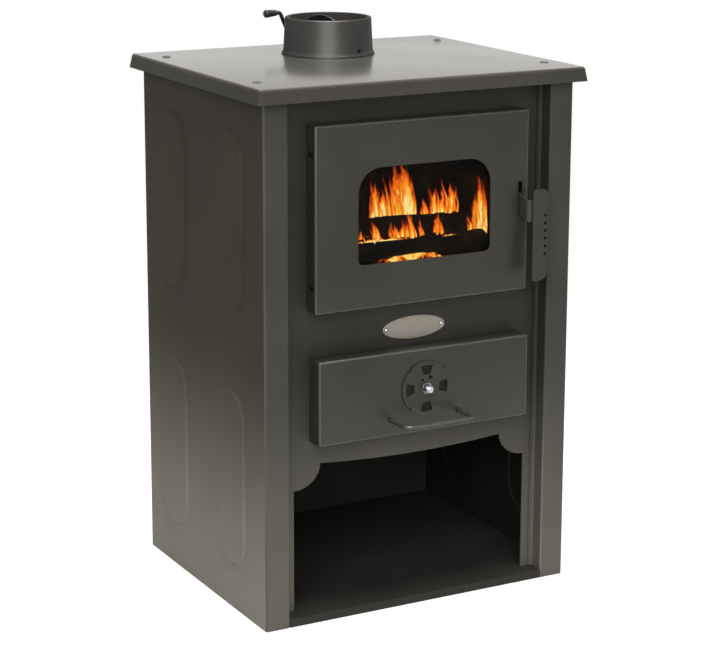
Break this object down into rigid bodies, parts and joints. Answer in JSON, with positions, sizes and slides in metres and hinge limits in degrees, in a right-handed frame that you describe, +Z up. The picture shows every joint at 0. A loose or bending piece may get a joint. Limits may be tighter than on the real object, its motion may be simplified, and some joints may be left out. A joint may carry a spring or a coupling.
{
  "type": "heating stove",
  "caption": "Wood-burning sheet-steel heating stove with a glazed fire door, latch, ash drawer with air rosette, open log bay, cooking top, flue collar and damper.",
  "frame": {"origin": "on the floor, under the middle of the whole stove with its drawer handle and top plate", "axes": "+Z up, -Y to the front where the fire door is, +X to the right as seen from the front"},
  "size_m": [0.499, 0.4552, 0.7888],
  "materials": {
    "stove_paint": "matt heat-resistant anthracite paint",
    "raw_steel": "dark mill-scale steel, oiled",
    "cast_iron": "sand-cast, matt black-grey",
    "firebrick": "matt pressed fireclay",
    "ceramic_glass": "polished ceramic glass",
    "glass_fibre": "knitted glass fibre",
    "zinc_plate": "bright zinc plated",
    "brushed_plate": "brushed, bare"
  },
  "bodies": {
    "stove": {"left_side_panel": "stove_paint", "right_side_panel": "stove_paint", "front_panel": "stove_paint", "back_panel": "stove_paint", "base_plate": "stove_paint", "top_plate": "stove_paint", "top_rail_left": "raw_steel", "top_rail_right": "raw_steel", "flue_collar": "cast_iron", "bay_roof": "raw_steel", "ash_runner_left": "raw_steel", "ash_runner_right": "raw_steel", "firebox_shell": "raw_steel", "firebox_floor": "raw_steel", "fire_grate": "cast_iron", "firebrick_left": "firebrick", "firebrick_right": "firebrick", "firebrick_back": "firebrick", "baffle_plate": "raw_steel", "baffle_ledge_left": "raw_steel", "baffle_ledge_right": "raw_steel", "badge_plate": "brushed_plate", "badge_rivet_left": "zinc_plate", "badge_rivet_right": "zinc_plate", "top_screw_1": "raw_steel", "top_screw_2": "raw_steel", "top_screw_3": "raw_steel", "top_screw_4": "raw_steel", "hinge_leaf_upper": "raw_steel", "hinge_leaf_lower": "raw_steel", "hinge_pin_upper": "raw_steel", "hinge_pin_lower": "raw_steel"},
    "fire_door": {"door_pan": "stove_paint", "window_glass": "ceramic_glass", "glass_tape": "glass_fibre", "glass_clip_top": "raw_steel", "glass_clip_bottom": "raw_steel", "glass_stud_1": "zinc_plate", "glass_stud_2": "zinc_plate", "glass_stud_3": "zinc_plate", "glass_stud_4": "zinc_plate", "seal_channel": "raw_steel", "rope_seal": "glass_fibre", "hinge_knuckle_upper": "raw_steel", "hinge_knuckle_lower": "raw_steel", "latch_bracket": "raw_steel", "latch_pin": "raw_steel"},
    "latch": {"latch_lever": "stove_paint", "latch_handle_plate": "stove_paint"},
    "ash_drawer": {"drawer_front": "stove_paint", "ash_box": "raw_steel", "drawer_handle": "raw_steel", "rosette_bolt": "zinc_plate", "rosette_nut": "zinc_plate", "rosette_washer": "zinc_plate"},
    "air_disc": {"air_disc": "stove_paint"},
    "damper": {"damper_lever": "raw_steel", "damper_plate": "raw_steel", "damper_grip": "raw_steel"}
  },
  "joints": [
    {"name": "fire_door_hinge", "type": "hinge", "parent": "stove", "child": "fire_door", "pos_m": [-0.1547, -0.16537, 0.463], "axis": [0, 0, -1], "range_deg": [0, 110]},
    {"name": "latch_lift", "type": "hinge", "parent": "fire_door", "child": "latch", "pos_m": [0.151, -0.16337, 0.5485], "axis": [-1, 0, 0], "range_deg": [-7, 28]},
    {"name": "ash_drawer_slide", "type": "slide", "parent": "stove", "child": "ash_drawer", "axis": [0, -1, 0], "range_m": [0, 0.26]},
    {"name": "air_disc_turn", "type": "hinge", "parent": "ash_drawer", "child": "air_disc", "pos_m": [0.004, -0.18138, 0.3085], "axis": [0, -1, 0], "continuous": true},
    {"name": "damper_turn", "type": "hinge", "parent": "stove", "child": "damper", "pos_m": [0.002, 0.09863, 0.738], "axis": [-0.2672, 0.9636, 0], "range_deg": [-40, 105]}
  ]
}
